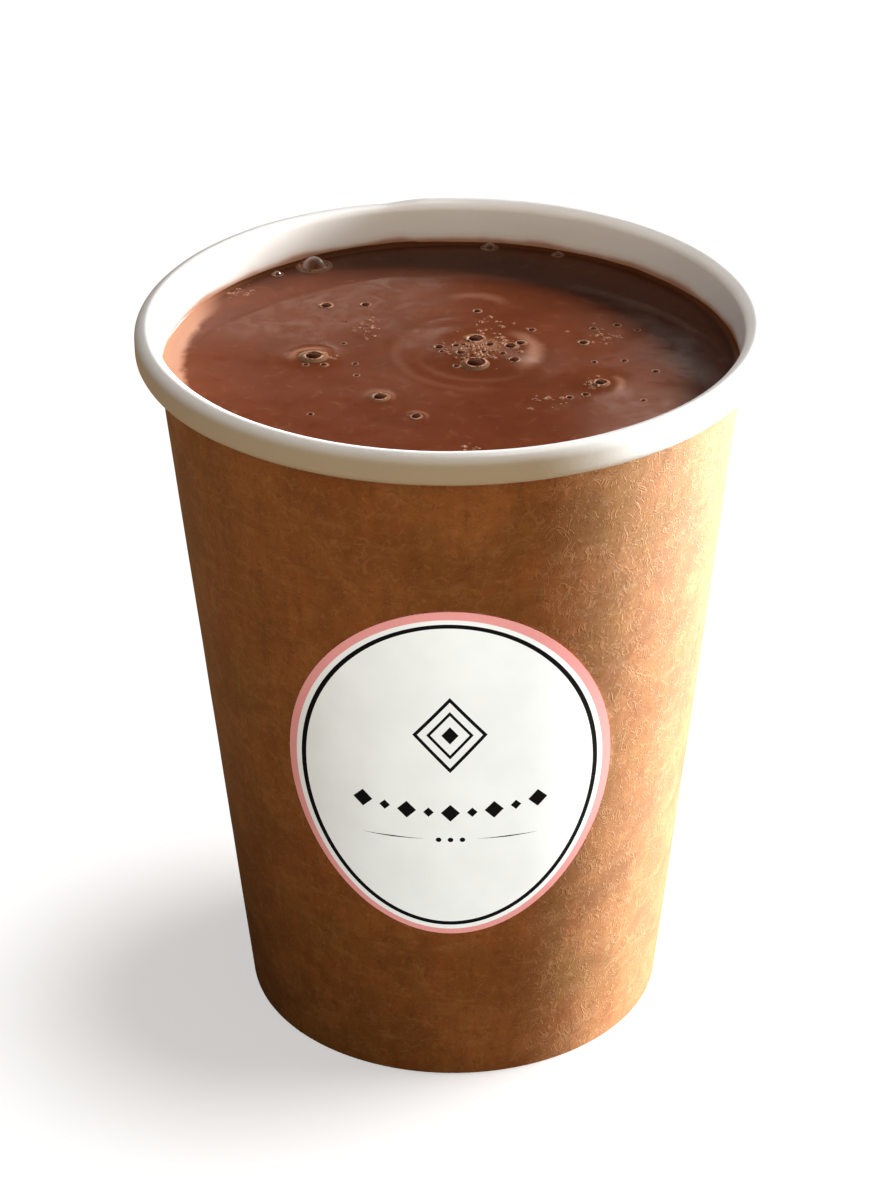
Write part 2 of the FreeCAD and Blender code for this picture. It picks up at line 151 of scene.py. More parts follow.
class CupColours(bpy.types.PropertyGroup):
    kraft: colour("Kraft", "Brown board", (0.43, 0.176, 0.062))
    kraft_pale: colour("Pale fibres", "Light fibres in the brown board", (0.70, 0.42, 0.22))
    kraft_dark: colour("Dark fibres", "Dark fibres in the brown board", (0.22, 0.075, 0.022))
    white: colour("White", "Coated face of the board", (0.81, 0.82, 0.85))
    edge: colour("Edge", "Cut edge of the board", (0.50, 0.36, 0.22))
    drink: colour("Drink", "Hot chocolate", (0.180, 0.046, 0.018))
    # Deep drink is both the drink's own dark specks and painted shade at its edge.
    drink_deep: colour("Deep drink", "Hot chocolate in thin films and shadow", (0.075, 0.016, 0.004))
    film: colour("Film", "Thin drink on the board over its edge", (0.30, 0.110, 0.045))
    froth: colour("Froth", "Foam of fine bubbles", (0.42, 0.17, 0.08))
    # Pale froth, also the tint of painted reflections on the drink and on the bubbles' rings.
    pale_froth_and_reflection: colour("Pale froth", "Raised rings round the bubbles", (0.74, 0.38, 0.24))
    # Painted shade: the dark of the hollow under a bubble's skin.
    bubble: colour("Bubble", "Skin of a bubble over dark drink", (0.040, 0.010, 0.005))
    # Painted reflection: the white board mirrored in the outline of the bubbles at the wall.
    painted_bubble_reflection: colour("Bubble edge", "Rim of the bubbles at the wall", (0.62, 0.52, 0.48))
    border: colour("Border", "Border of the label", (0.79, 0.315, 0.30))
    paper: colour("Paper", "Field of the label", (0.88, 0.88, 0.875))
    ink: colour("Ink", "Print of the label", (0.005, 0.005, 0.0055))


# ---- Modelling ----


def deselect_all():
    if bpy.context.object and bpy.context.object.mode != "OBJECT":
        bpy.ops.object.mode_set(mode="OBJECT")
    bpy.ops.object.select_all(action="DESELECT")


def select_only(*pieces):
    deselect_all()
    for piece in pieces:
        piece.select_set(True)
    bpy.context.view_layer.objects.active = pieces[0]


def edit(piece):
    """Opens a piece in edit mode, all selected."""
    select_only(piece)
    bpy.ops.object.mode_set(mode="EDIT")
    bpy.ops.mesh.select_all(action="SELECT")


def leave_edit():
    bpy.ops.object.mode_set(mode="OBJECT")


def named(name):
    """Names the active piece and its mesh."""
    piece = bpy.context.object
    piece.name = piece.data.name = name
    return piece


def add_piece(name, add, **settings):
    """A primitive, made by its operator."""
    deselect_all()
    add(**settings)
    return named(name)


def draw_wire(name, points):
    """A wire through points, drawn by extruding one vertex. It is left in edit mode, all selected."""
    piece = add_piece(name, bpy.ops.mesh.primitive_plane_add, size=MM)
    edit(piece)
    bpy.ops.mesh.merge(type="CENTER")
    bpy.ops.transform.translate(value=points[0])
    for here, there in zip(points, points[1:]):
        bpy.ops.mesh.extrude_vertices_move(TRANSFORM_OT_translate={"value": there - here})
    bpy.ops.mesh.select_all(action="SELECT")
    return piece


def spin_full(steps, doubled):
    """Spins the wire in edit mode through a full turn and merges points doubled apart or less."""
    bpy.ops.mesh.spin(steps=steps, angle=math.tau, center=(0, 0, 0), axis=(0, 0, 1))
    bpy.ops.mesh.select_all(action="SELECT")
    bpy.ops.mesh.remove_doubles(threshold=doubled)
    bpy.ops.mesh.normals_make_consistent(inside=False)
    leave_edit()


def flip(piece):
    """Turns a piece's faces the other way."""
    edit(piece)
    bpy.ops.mesh.flip_normals()
    leave_edit()


def line(start, end, steps):
    """Points after start, up to end."""
    return [start.lerp(end, (i + 1) / steps) for i in range(steps)]


def arc(centre, radius, first, last, steps):
    """Points after the angle first, up to last, round centre in the XZ plane."""
    return [
        centre + radius * direction(first + (last - first) * (i + 1) / steps)
        for i in range(steps)
    ]


def direction(turn):
    return Vector((math.cos(turn), 0.0, math.sin(turn)))


def smooth_step(value):
    value = min(1.0, max(0.0, value))
    return value * value * (3.0 - 2.0 * value)


def add_modifier(piece, kind, **settings):
    """Adds a modifier, sets it and applies it."""
    modifier = piece.modifiers.new(kind.title(), kind)
    for name, value in settings.items():
        setattr(modifier, name, value)
    select_only(piece)
    bpy.ops.object.modifier_apply(modifier=modifier.name)


def weigh(piece, name, weight_of):
    """A vertex group whose weights are weight_of(index, place)."""
    group = piece.vertex_groups.new(name=name)
    for vertex in piece.data.vertices:
        group.add([vertex.index], weight_of(vertex.index, vertex.co), "REPLACE")
    return group.name


def shade(piece, degrees=35):
    select_only(piece)
    bpy.ops.object.shade_smooth_by_angle(angle=math.radians(degrees))


def finish_piece(piece, slot, *replaced):
    """Rides the piece on the cup and hides the nodes that it stands for. Its slot is not used."""
    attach(piece, BODY)
    for node in replaced:
        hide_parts(node)


# ---- Finishes ----


def toned(tint, *factors):
    """A colour with its channels multiplied, all by one factor or each by its own."""
    if len(factors) == 1:
        factors *= 3
    return [channel * factor for channel, factor in zip(tint, factors)]


class Nodes:
    """The nodes of a material or a world, and the shader that they feed."""

    def __init__(self, owner, shader):
        owner.use_nodes = True
        self.tree = owner.node_tree
        self.shader = self.tree.nodes[shader]

    def feed(self, socket, value):
        if isinstance(value, bpy.types.NodeSocket):
            self.tree.links.new(value, socket)
        elif socket.type == "RGBA" and len(value) == 3:
            socket.default_value = (*value, 1.0)
        else:
            socket.default_value = value

    def node(self, kind, inputs=(), **settings):
        made = self.tree.nodes.new("ShaderNode" + kind)
        for name, value in settings.items():
            setattr(made, name, value)
        for key, value in dict(inputs).items():
            self.feed(made.inputs[key], value)
        return made

    def set(self, **inputs):
        """Feeds the shader. An underscore in a name stands for a space."""
        for name, value in inputs.items():
            self.feed(self.shader.inputs[name.replace("_", " ")], value)

    def mix(self, share, first, second):
        inputs = {0: share, 6: first, 7: second}
        return self.node("Mix", inputs, data_type="RGBA").outputs[2]


class Finish(Nodes):
    """A material's nodes. Each method adds a node and returns the socket that it gives."""

    def __init__(self, name):
        self.material = bpy.data.materials.new(name)
        super().__init__(self.material, "Principled BSDF")
        self.place = self.node("TexCoord").outputs["Object"]

    def coat(self, base, grain, rough, normal, **more):
        """The finished material: a colour, a relief, and a roughness that follows the grain."""
        self.set(Base_Color=base, Roughness=self.fade(grain, 0.3, 0.7, *rough), Normal=normal, **more)
        return self.material

    def moved(self, scale=(1, 1, 1), place=(0, 0, 0)):
        """Object coordinates, stretched and shifted."""
        inputs = {"Vector": self.place, "Scale": scale, "Location": place}
        return self.node("Mapping", inputs).outputs["Vector"]

    def split(self, vector=None):
        return self.node("SeparateXYZ", {"Vector": vector or self.place}).outputs

    def noise(self, size, detail=3.0, rough=0.5, curl=0.0, at=None):
        """Noise with features of about size metres."""
        inputs = {
            "Vector": at or self.place,
            "Scale": 1.0 / size,
            "Detail": detail,
            "Roughness": rough,
            "Distortion": curl,
        }
        return self.node("TexNoise", inputs).outputs["Fac"]

    def facing(self, blend):
        """0 where a face looks at the viewer, up to 1 at its outline."""
        return self.node("LayerWeight", {"Blend": blend}).outputs["Facing"]

    def maths(self, operation, first, second=0.0):
        return self.node("Math", {0: first, 1: second}, operation=operation).outputs[0]

    def plus(self, first, second):
        return self.maths("ADD", first, second)

    def minus(self, first, second):
        return self.maths("SUBTRACT", first, second)

    def times(self, first, second):
        return self.maths("MULTIPLY", first, second)

    def most(self, first, second):
        return self.maths("MAXIMUM", first, second)

    def blend(self, first, first_share, second, second_share):
        """A weighted sum."""
        return self.plus(self.times(first, first_share), self.times(second, second_share))

    def radius(self, x, y):
        return self.maths("SQRT", self.plus(self.times(x, x), self.times(y, y)))

    def fade(self, value, low, high, to_low=0.0, to_high=1.0):
        """to_low where value is low, to_high where it is high, and smooth between."""
        inputs = {"Value": value, 1: low, 2: high, 3: to_low, 4: to_high}
        made = self.node("MapRange", inputs, interpolation_type="SMOOTHSTEP")
        return made.outputs["Result"]

    def mottle(self, value, low, high, first, second):
        """The first colour where value is low, the second where it is high."""
        return self.mix(self.fade(value, low, high), first, second)

    def stain(self, base, value, low, high, share, tint):
        """Mixes a tint into base: none where value is low, up to share where it is high."""
        return self.mix(self.fade(value, low, high, 0.0, share), base, tint)

    def veil(self, base, mask, share, tint):
        """Mixes share of a tint into base where mask is 1."""
        return self.mix(self.times(mask, share), base, tint)

    def strands(self, size, width, curl, place=(0, 0, 0)):
        """Thin curling lines, broken into short lengths: 1 on a line."""
        at = self.moved(place=place)
        ridge = self.maths("ABSOLUTE", self.minus(self.noise(size, 1.0, 0.4, curl, at), 0.5))
        broken = self.fade(self.noise(size * 0.8, 1.0, at=at), 0.47, 0.56)
        return self.times(self.fade(ridge, width, 0.0), broken)

    def crescent(self, centre, radius, width, turn, spread, ragged):
        """A soft arc in millimetres and degrees, that reaches spread either side of turn."""
        radius, width = radius * MM, width * MM
        turn, spread = math.radians(turn), math.radians(spread)
        x, y, _ = self.split(self.moved(place=(-centre[0] * MM, -centre[1] * MM, 0)))
        away = self.radius(x, y)
        uneven = self.plus(away, self.times(ragged, width))
        off = self.maths("ABSOLUTE", self.minus(uneven, radius + width / 2))
        facing = self.maths("DIVIDE", self.blend(x, math.cos(turn), y, math.sin(turn)), away)
        return self.times(self.fade(off, width, 0.0), self.fade(facing, math.cos(spread), 1.0))

    def relief(self, height, depth, strength=1.0, after=None):
        """A bump of depth metres, on top of another."""
        inputs = {"Height": height, "Distance": depth, "Strength": strength}
        if after:
            inputs["Normal"] = after
        return self.node("Bump", inputs).outputs["Normal"]


def kraft_finish(colours):
    """Unbleached board: mottled, with pale and dark fibres that stand up a little."""
    f = Finish("kraft_board")
    kraft = colours.kraft
    blotch = f.noise(9 * MM, 4.0, 0.6, 0.4)
    ruddy = f.noise(7 * MM, 3.0, 0.6, 0.5, f.moved((1.0, 1.0, 0.55), (0.3, 0.1, 0.2)))
    olive = f.noise(10 * MM, 3.0, 0.6, 0.3, f.moved((1.0, 1.0, 0.6), (0.8, 0.4, 0.6)))
    streak = f.noise(1.6 * MM, 3.0, 0.6, at=f.moved((1.0, 1.0, 0.22)))
    weave = f.noise(1.6 * MM, 3.0, 0.6, at=f.moved((0.25, 0.25, 1.0), (0.1, 0.9, 0.3)))
    grain = f.noise(0.35 * MM, 2.0, 0.7)
    pale = f.most(f.strands(2.8 * MM, 0.050, 1.6),
                  f.strands(1.7 * MM, 0.045, 2.0, (0.7, 0.2, 0.4)))
    dark = f.most(f.strands(2.5 * MM, 0.040, 1.8, (0.2, 0.5, 0.9)),
                  f.strands(1.5 * MM, 0.035, 2.2, (0.9, 0.6, 0.1)))
    base = f.mottle(blotch, 0.32, 0.68, toned(kraft, 0.82, 0.80, 0.78), toned(kraft, 1.16, 1.18, 1.2))
    base = f.stain(base, ruddy, 0.48, 0.72, 0.45, toned(kraft, 1.06, 0.80, 0.6))
    base = f.stain(base, olive, 0.44, 0.70, 0.60, toned(kraft, 0.84, 1.02, 0.72))
    base = f.stain(base, streak, 0.42, 0.70, 0.26, colours.kraft_dark)
    base = f.stain(base, weave, 0.50, 0.75, 0.20, colours.kraft_pale)
    base = f.veil(base, dark, 0.42, colours.kraft_dark)
    base = f.veil(base, pale, 0.24, colours.kraft_pale)
    fibres = f.minus(f.blend(pale, 0.9, grain, 0.3), f.times(dark, 0.35))
    soft = f.relief(blotch, 0.22 * MM, 0.5)
    soft = f.relief(f.blend(streak, 0.5, weave, 0.5), 0.07 * MM, 0.6, soft)
    return f.coat(base, grain, (0.58, 0.70), f.relief(fibres, 0.035 * MM, 0.8, soft),
                  Specular_IOR_Level=0.5, Sheen_Weight=0.04, Sheen_Roughness=0.4,
                  Sheen_Tint=(1.0, 0.90, 0.82))


# Within this radius the white board is the inside of the wall, which the drink stains.
INSIDE_RADIUS = 42.25 * MM


def white_finish(colours, drink_level):
    """Coated white board, stained by the drink just above its level."""
    f = Finish("white_board")
    white = colours.white
    x, y, z = f.split()
    tone = f.noise(14 * MM, 3.0)
    grain = f.noise(0.5 * MM, 3.0, 0.6)
    fibre = f.noise(1.4 * MM, 2.0, 0.5, 1.0)
    wave = f.noise(9 * MM, 2.0, 0.5, 0.2)
    base = f.mottle(tone, 0.35, 0.65, white, toned(white, 0.97, 0.965, 0.95))
    base = f.stain(base, grain, 0.55, 0.75, 0.10, toned(white, 0.86))
    over = f.minus(z, f.plus(f.times(wave, 1.6 * MM), drink_level))
    inside = f.fade(f.radius(x, y), INSIDE_RADIUS + 0.1 * MM, INSIDE_RADIUS - 0.1 * MM)
    wet = f.times(f.fade(over, 0.55 * MM, -0.35 * MM), inside)
    base = f.veil(base, wet, 0.85, colours.film)
    splashed = f.times(f.fade(over, 1.4 * MM, 0.1 * MM), inside)
    base = f.veil(base, splashed, 0.22, colours.froth)
    height = f.blend(grain, 0.4, fibre, 0.6)
    return f.coat(base, grain, (0.34, 0.48), f.relief(height, 0.03 * MM, 0.5),
                  Specular_IOR_Level=0.5)


def edge_finish(colours):
    """The cut edge of the board: layered fibres."""
    f = Finish("board_edge")
    layers = f.noise(0.12 * MM, 2.0, 0.6, 1.0)
    long = f.noise(1.5 * MM, 2.0)
    base = f.mottle(layers, 0.35, 0.65, colours.edge, toned(colours.edge, 0.62))
    base = f.stain(base, long, 0.4, 0.7, 0.4, colours.kraft)
    return f.coat(base, layers, (0.8, 0.95), f.relief(layers, 0.03 * MM, 0.7))


CRIMPS = 150


def base_finish(colours):
    """The base disc: plain board with a faint machine grain, and a crimped ring at its edge."""
    f = Finish("base_board")
    x, y, _ = f.split()
    grain = f.noise(0.5 * MM, 3.0, 0.6)
    sheet = f.noise(5 * MM, 3.0, at=f.moved((0.25, 1.0, 1.0)))
    teeth = f.maths("SINE", f.times(f.maths("ARCTAN2", y, x), CRIMPS))
    crimp = f.times(teeth, f.fade(f.radius(x, y), 29.0 * MM, 30.0 * MM))
    base = f.mottle(sheet, 0.35, 0.7, colours.white, toned(colours.white, 0.94, 0.92, 0.88))
    base = f.stain(base, grain, 0.5, 0.8, 0.18, colours.edge)
    height = f.blend(grain, 0.4, sheet, 0.4)
    soft = f.relief(crimp, 0.06 * MM, 0.6)
    return f.coat(base, grain, (0.5, 0.66), f.relief(height, 0.04 * MM, 0.6, soft))


# Pale marks in the drink: froth round the middle cluster, and painted reflections in crescents
# beside the bubbles and along the ripple. Middle, radius and width in millimetres, the way they
# open and how far round they reach in degrees, and how strongly they show.
FROTH_AND_PAINTED_REFLECTIONS = (
    ((4.2, 1.7), 1.6, 3.6, 90, 179, 0.42),
    ((4.6, 1.9), 7.6, 1.9, 5, 62, 0.38),
    ((4.6, 1.9), 12.5, 1.3, 215, 80, 0.09),
    ((4.6, 1.9), 9.6, 1.0, 250, 70, 0.07),
    ((-19.8, 0.2), 3.0, 1.0, 120, 95, 0.45),
    ((21.0, -8.8), 3.0, 1.0, 0, 60, 0.30),
    ((-10.0, -13.0), 2.0, 0.6, 60, 110, 0.25),
    ((-4.9, -19.1), 1.6, 0.5, 60, 110, 0.25),
    ((3.0, 16.2), 5.5, 1.6, 75, 60, 0.20),
)


def drink_finish(colours):
    """Hot chocolate: a skin with slow shifts of tone, fine specks, painted shade at its edge, a
    painted reflection on the left of the edge, and pale crescents of froth and painted reflection.
    """
    f = Finish("hot_chocolate")
    drink, deep = colours.drink, colours.drink_deep
    x, y, _ = f.split()
    slow = f.noise(16 * MM, 3.0, 0.55, 0.8)
    fine = f.noise(2.6 * MM, 4.0, 0.6, 0.6)
    speck = f.noise(0.55 * MM, 3.0, 0.65)
    radius = f.radius(x, y)
    ragged = f.plus(radius, f.times(fine, 1.5 * MM))
    base = f.mottle(slow, 0.32, 0.68, toned(drink, 0.90), toned(drink, 1.10, 1.10, 1.12))
    base = f.stain(base, fine, 0.55, 0.78, 0.22, colours.froth)
    base = f.stain(base, fine, 0.45, 0.25, 0.22, deep)
    base = f.stain(base, speck, 0.62, 0.74, 0.18, deep)
    # Painted shade: the drink darkens towards its ragged edge by the wall.
    base = f.stain(base, ragged, 39.0 * MM, 42.0 * MM, 0.85, deep)
    base = f.stain(base, radius, 40.1 * MM, 40.9 * MM, 0.75, colours.film)
    # Painted reflection: the meniscus on the left, paler where it mirrors the lit wall.
    painted_meniscus_glint = f.times(f.fade(x, -33 * MM, -38 * MM), f.fade(ragged, 38.4 * MM, 39.9 * MM))
    base = f.veil(base, painted_meniscus_glint, 0.75, colours.pale_froth_and_reflection)
    # Froth round the middle cluster, and painted reflections in crescents by the bubbles and the
    # ripple.
    for centre, size, width, turn, spread, share in FROTH_AND_PAINTED_REFLECTIONS:
        swirl = f.crescent(centre, size, width, turn, spread, fine)
        base = f.veil(base, swirl, share, colours.pale_froth_and_reflection)
    height = f.blend(fine, 0.6, speck, 0.12)
    f.set(Base_Color=base, Roughness=f.fade(fine, 0.3, 0.75, 0.08, 0.17),
          Normal=f.relief(height, 0.035 * MM, 0.35), IOR=1.34, Specular_IOR_Level=0.08)
    return f.material


def bubble_finish(colours):
    """The wet skin of a bubble: its dark colour is painted shade of the hollow under it, where little
    light reaches, and its paler outline a painted reflection.
    """
    f = Finish("bubble_skin")
    swirl = f.noise(0.9 * MM, 3.0, 0.6, 1.5)
    base = f.mottle(swirl, 0.35, 0.7, colours.bubble, toned(colours.bubble, 1.9))
    # Painted reflection: the skin's outline paler, as it would mirror at a glancing view.
    base = f.veil(base, f.facing(0.35), 0.12, colours.froth)
    return f.coat(base, swirl, (0.15, 0.25), f.relief(swirl, 0.02 * MM, 0.3),
                  IOR=1.33, Specular_IOR_Level=0.15)


def pale_bubble_finish(colours):
    """The skin of the larger bubbles at the wall, with a painted reflection of the white board at its
    outline.
    """
    f = Finish("pale_bubble_skin")
    swirl = f.noise(1.4 * MM, 3.0, 0.6, 1.5)
    base = f.mottle(swirl, 0.3, 0.7, colours.drink, colours.froth)
    # Painted reflection: paler towards the outline.
    base = f.mix(f.facing(0.5), base, colours.painted_bubble_reflection)
    return f.coat(base, swirl, (0.05, 0.12), f.relief(swirl, 0.03 * MM, 0.3),
                  IOR=1.45, Coat_Weight=1.0, Coat_Roughness=0.04)


def ring_finish(colours):
    """The raised ring round a bubble: drink full of fine air, its paleness partly a painted
    reflection of the light that the ring's meniscus catches.
    """
    f = Finish("bubble_ring")
    swirl = f.noise(0.7 * MM, 3.0, 0.6, 1.0)
    base = f.mottle(swirl, 0.35, 0.65, colours.drink, colours.pale_froth_and_reflection)
    return f.coat(base, swirl, (0.35, 0.5), f.relief(swirl, 0.02 * MM, 0.3),
                  IOR=1.33, Specular_IOR_Level=0.1)


def froth_finish(colours):
    """Wet foam: paler than the drink, and specked."""
    f = Finish("froth")
    patch = f.noise(1.8 * MM, 3.0, 0.6)
    speck = f.noise(0.25 * MM, 2.0, 0.6)
    base = f.mottle(patch, 0.3, 0.7, colours.froth, colours.drink)
    base = f.stain(base, speck, 0.6, 0.75, 0.4, colours.drink_deep)
    return f.coat(base, speck, (0.10, 0.22), f.relief(speck, 0.02 * MM, 0.5), IOR=1.36)


def paper_finish(name, tint, grain_tint, roughness, gloss=0.25):
    """Printed label paper: satin, with a fine grain and a faint unevenness of the print."""
    f = Finish(name)
    grain = f.noise(0.3 * MM, 3.0, 0.6)
    cloud = f.noise(7 * MM, 2.0)
    base = f.mottle(cloud, 0.3, 0.7, tint, toned(tint, 0.955))
    base = f.stain(base, grain, 0.55, 0.8, 0.16, grain_tint)
    return f.coat(base, grain, (roughness, roughness + 0.12), f.relief(grain, 0.015 * MM, 0.5),
                  Specular_IOR_Level=gloss)


def ink_finish(name, colours):
    """Black print: matt, and hardly paler in its grain."""
    return paper_finish(name, colours.ink, toned(colours.ink, 1.5), 0.55, 0.08)


# ---- Cup ----

COLUMN = math.radians(1.5)
# Where up the wall the seam's lap and the board's wobble start, and over what height they grow.
LAP_FROM, LAP_OVER = 1.5 * MM, 4 * MM
WOBBLE_FROM, WOBBLE_OVER = 3.6 * MM, 12 * MM
# The seam's outer edge is skived: its share of the thickness, and the gain with each column.
SKIVED_LEAST, SKIVED_GAIN = 0.12, 0.055


def wall_radius(sizes, z, depth=0.0):
    """Radius of the wall's kraft face at height z, or of the surface depth inside it."""
    bend = top_bend(sizes)
    reach = (sizes.roll_width / 2 - sizes.board + depth) / math.cos(sizes.taper)
    return bend.x - reach - (bend.z - z) * math.tan(sizes.taper)


def top_bend(sizes):
    """Middle of the rolled rim's upper bend."""
    half = sizes.roll_width / 2
    return Vector((sizes.rim_radius - half, 0, sizes.height - half))


def wall_face(sizes):
    """The board's kraft face in the XZ plane, from the free edge in the foot to the rim's tuck."""
    half, quarter, lean = math.pi, math.pi / 2, sizes.taper
    fold, tuck = sizes.fold_radius, sizes.tuck_bend
    roll = sizes.roll_width / 2 - sizes.board
    top = top_bend(sizes)
    outer_fold = Vector((wall_radius(sizes, fold, fold), 0, fold))
    inner_fold = outer_fold - Vector(((sizes.hem_stack - 2 * fold) / math.cos(lean), 0, 0))
    tuck_z = sizes.height - sizes.roll_height + tuck + sizes.board
    low_bend = Vector((top.x + roll - tuck, 0, tuck_z))
    hem_foot = inner_fold + fold * direction(half - lean)
    hem_top = hem_foot + Vector((math.tan(lean), 0, 1)) * (sizes.hem_height - hem_foot.z)
    points = [hem_top]
    points += line(hem_top, hem_foot, 4)
    points += arc(inner_fold, fold, half - lean, half + quarter, 5)
    points += line(inner_fold - Vector((0, 0, fold)), outer_fold - Vector((0, 0, fold)), 1)
    points += arc(outer_fold, fold, -quarter, -lean, 5)
    points += line(points[-1], top + roll * direction(half - lean), 42)
    points += arc(top, roll, half - lean, 0, 13)
    points += line(points[-1], low_bend + Vector((tuck, 0, 0)), 2)
    points += arc(low_bend, tuck, 0, -half, 11)
    points += line(points[-1], points[-1] + Vector((0, 0, sizes.tuck_length)), 2)
    return points


class CUP_OT_wall(bpy.types.Operator):
    """Spin the board's face past a full turn, lap it at the seam and give it its thickness"""

    bl_idname = "cup.wall"
    bl_label = "Cup wall"

    def execute(self, context):
        sizes, colours = context.scene.cup_sizes, context.scene.cup_colours
        drink_level = sizes.height - context.scene.cup_drink.drop
        face = wall_face(sizes)
        turn = math.tau + sizes.lap_crest - COLUMN / 2
        columns = round(turn / COLUMN)
        wall = draw_wire("cup_wall_board", face)
        bpy.ops.transform.rotate(value=-sizes.lap_start, orient_axis="Z", center_override=(0, 0, 0))
        bpy.ops.mesh.spin(steps=columns, angle=turn, center=(0, 0, 0), axis=(0, 0, 1))
        bpy.ops.mesh.select_all(action="SELECT")
        bpy.ops.mesh.normals_make_consistent(inside=False)
        leave_edit()
        middle = min(wall.data.polygons, key=lambda p: abs(p.center.z - sizes.height / 2))
        if middle.normal.dot(Vector((middle.center.x, middle.center.y, 0))) < 0:
            flip(wall)

        def lap_weight(index, place):
            along = index // len(face) * turn / columns
            crest = 1.0 - smooth_step((along - sizes.lap_crest) / sizes.lap_ramp)
            return crest * smooth_step((place.z - LAP_FROM) / LAP_OVER)

        def board_weight(index, place):
            return min(1.0, SKIVED_LEAST + SKIVED_GAIN * (columns - index // len(face)))

        def wobble_weight(index, place):
            return smooth_step((place.z - WOBBLE_FROM) / WOBBLE_OVER)

        lap = weigh(wall, "lap", lap_weight)
        skived = weigh(wall, "skived", board_weight)
        loose = weigh(wall, "loose", wobble_weight)
        add_modifier(wall, "DISPLACE", strength=sizes.lap_lift, mid_level=0.0, vertex_group=lap)
        clouds = bpy.data.textures.new("board_wobble", "CLOUDS")
        clouds.noise_scale = 14 * MM
        clouds.noise_depth = 2
        add_modifier(wall, "DISPLACE", strength=sizes.wobble, mid_level=0.0, vertex_group=loose,
                     texture=clouds, texture_coords="LOCAL")
        wall.data.materials.append(kraft_finish(colours))
        wall.data.materials.append(white_finish(colours, drink_level))
        wall.data.materials.append(edge_finish(colours))
        add_modifier(wall, "SOLIDIFY", thickness=sizes.board, offset=-1.0, use_even_offset=True,
                     material_offset=1, material_offset_rim=2, vertex_group=skived)
        wall.vertex_groups.clear()
        shade(wall)
        finish_piece(wall, "kraft_board", "cup_wall")
        return {"FINISHED"}


class CUP_OT_base(bpy.types.Operator):
    """Give the base disc its board"""

    bl_idname = "cup.base"
    bl_label = "Cup base"

    def execute(self, context):
        base = frame["nodes"]["cup_base"]
        base.data.materials.clear()
        base.data.materials.append(base_finish(context.scene.cup_colours))
        return {"FINISHED"}


# ---- Label ----

# The label is drawn flat on this plane, in front of the cup, then laid on it.
FLAT_Y = -60 * MM
LABEL_CORNERS = 144
LABEL_RINGS = 12
# The ornament: corners, width, height, place across and up from the label's middle, and the
# line's width or 0 for a filled shape, in millimetres.
LOZENGES = [(4, 10.5, 13.0, 0, 7.4, 0.5), (4, 6.6, 8.2, 0, 7.4, 0.42), (4, 2.4, 3.0, 0, 7.4, 0)]
ROW = [
    (4, *((1.5, 1.65) if step % 2 else (2.7, 2.97)), step * 3.1, 0.085 * step ** 2 - 6.2, 0)
    for step in range(-4, 5)
]
DOTS = [(20, 0.8, 0.8, step * 1.7, -11.0, 0) for step in (-1, 0, 1)]
RULES = [(4, 8.6, 0.2, side * 8.2, -10.9, 0) for side in (-1, 1)]


def wrap(piece, target, gap):
    """Lays a flat piece drawn in front of the cup on the target, gap off it."""
    add_modifier(piece, "SHRINKWRAP", target=target, wrap_method="PROJECT", use_project_y=True,
                 use_positive_direction=True, use_negative_direction=False, offset=gap)


def flat_disc(name, corners, width, height, place):
    """A filled round or polygon facing the front, left in edit mode with its face selected."""
    add = bpy.ops.mesh.primitive_circle_add
    piece = add_piece(name, add, vertices=corners, radius=0.5, fill_type="NGON")
    edit(piece)
    bpy.ops.transform.rotate(value=math.radians(-90), orient_axis="X", center_override=(0, 0, 0))
    bpy.ops.transform.resize(value=(width, 1, height), center_override=(0, 0, 0))
    bpy.ops.transform.translate(value=place)
    return piece


def face_front(piece):
    """Turns the faces of a flat piece to the front."""
    edit(piece)
    bpy.ops.mesh.normals_make_consistent(inside=False)
    leave_edit()
    if sum(p.normal.y for p in piece.data.polygons) > 0:
        flip(piece)


class CUP_OT_label(bpy.types.Operator):
    """Inset the label's rings, wrap it round the wall and thicken it"""

    bl_idname = "cup.label"
    bl_label = "Label"

    def execute(self, context):
        sizes, colours = context.scene.cup_label, context.scene.cup_colours
        wall = bpy.data.objects["cup_wall_board"]
        place = Vector((LABEL_MIDDLE.x, FLAT_Y, LABEL_MIDDLE.z))
        span = LABEL_HIGH - LABEL_LOW
        label = flat_disc("label_sticker", LABEL_CORNERS, span.x, span.z, place)
        border = paper_finish("label_border", colours.border, colours.paper, 0.42)
        field = paper_finish("label_field", colours.paper, toned(colours.paper, 0.93), 0.40)
        for material in (border, field, ink_finish("label_line", colours)):
            label.data.materials.append(material)
        self.inset(label, sizes.border, 1)
        bpy.ops.transform.translate(value=(sizes.print_x, 0, sizes.print_z))
        self.inset(label, sizes.gap, 2)
        self.inset(label, sizes.line, 1)
        for ring in range(LABEL_RINGS, 1, -1):
            bpy.ops.mesh.inset(thickness=0)
            share = (ring - 1) / ring
            bpy.ops.transform.resize(value=(share, 1, share), center_override=place)
        bpy.ops.mesh.merge(type="CENTER")
        leave_edit()
        face_front(label)
        wrap(label, wall, sizes.glue + sizes.paper)
        add_modifier(label, "SOLIDIFY", thickness=sizes.paper, offset=-1.0)
        shade(label)
        finish_piece(label, "label_paper", "label")
        return {"FINISHED"}

    def inset(self, label, width, slot):
        """Insets the selected face and gives what is left of it the material in a slot."""
        bpy.ops.mesh.inset(thickness=width)
        label.active_material_index = slot
        bpy.ops.object.material_slot_assign()


